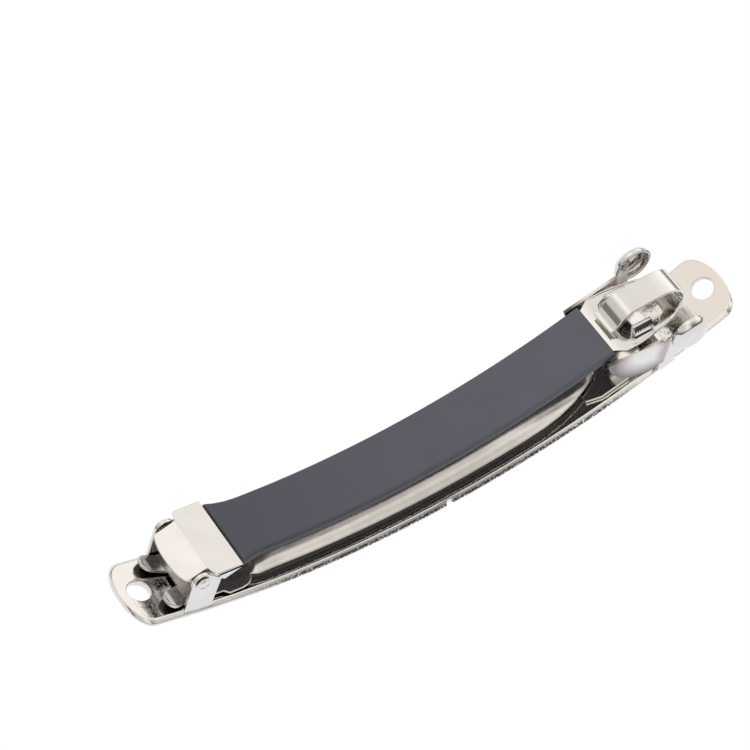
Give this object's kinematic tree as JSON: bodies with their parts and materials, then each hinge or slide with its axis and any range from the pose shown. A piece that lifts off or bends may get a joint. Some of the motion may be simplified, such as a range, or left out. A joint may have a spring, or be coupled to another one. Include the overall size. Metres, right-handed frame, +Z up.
{
  "type": "hair clip",
  "caption": "Closed hair clip: curved metal base with end holes, hinged rubber-sleeved arm, spring bar beneath it and a squeeze catch.",
  "frame": {"origin": "middle of the small flat at the lowest place of the base's convex underside, on which the clip rests", "axes": "+X along the clip from the hinge end to the catch end, +Z up out of the base's hollow side, +Y across"},
  "size_m": [0.1, 0.0164, 0.0184],
  "materials": {
    "base_plate": "bright nickel plate",
    "hinge_pin": "bright nickel plate",
    "clasp_arm": "bright nickel plate",
    "rubber_sleeve": "matte slate grey",
    "tension_bar": "bright nickel plate, faint lengthwise drawing lines",
    "catch_frame": "bright nickel plate",
    "catch_prong_near": "bright nickel plate",
    "catch_prong_far": "bright nickel plate"
  },
  "bodies": {
    "base": {"base_plate": "base_plate", "hinge_pin": "hinge_pin", "catch_frame": "catch_frame"},
    "arm": {"clasp_arm": "clasp_arm", "rubber_sleeve": "rubber_sleeve"},
    "bar": {"tension_bar": "tension_bar"},
    "prong_near": {"catch_prong_near": "catch_prong_near"},
    "prong_far": {"catch_prong_far": "catch_prong_far"}
  },
  "joints": [
    {"name": "arm_hinge", "type": "hinge", "parent": "base", "child": "arm", "pos_m": [-0.0397, 0, 0.01398], "axis": [0, -1, 0], "range_deg": [0, 90]},
    {"name": "bar_flex", "type": "hinge", "parent": "base", "child": "bar", "pos_m": [-0.03929, 0, 0.00816], "axis": [0, -1, 0], "range_deg": [0, 4], "stiffness_Nm_per_rad": 0.05},
    {"name": "near_prong_flex", "type": "hinge", "parent": "base", "child": "prong_near", "pos_m": [0.0342, -0.00515, 0.00636], "axis": [-1, 0, 0], "range_deg": [0, 3], "stiffness_Nm_per_rad": 0.05},
    {"name": "far_prong_flex", "type": "hinge", "parent": "base", "child": "prong_far", "pos_m": [0.0342, 0.00515, 0.00636], "axis": [1, 0, 0], "range_deg": [0, 3], "stiffness_Nm_per_rad": 0.05}
  ]
}
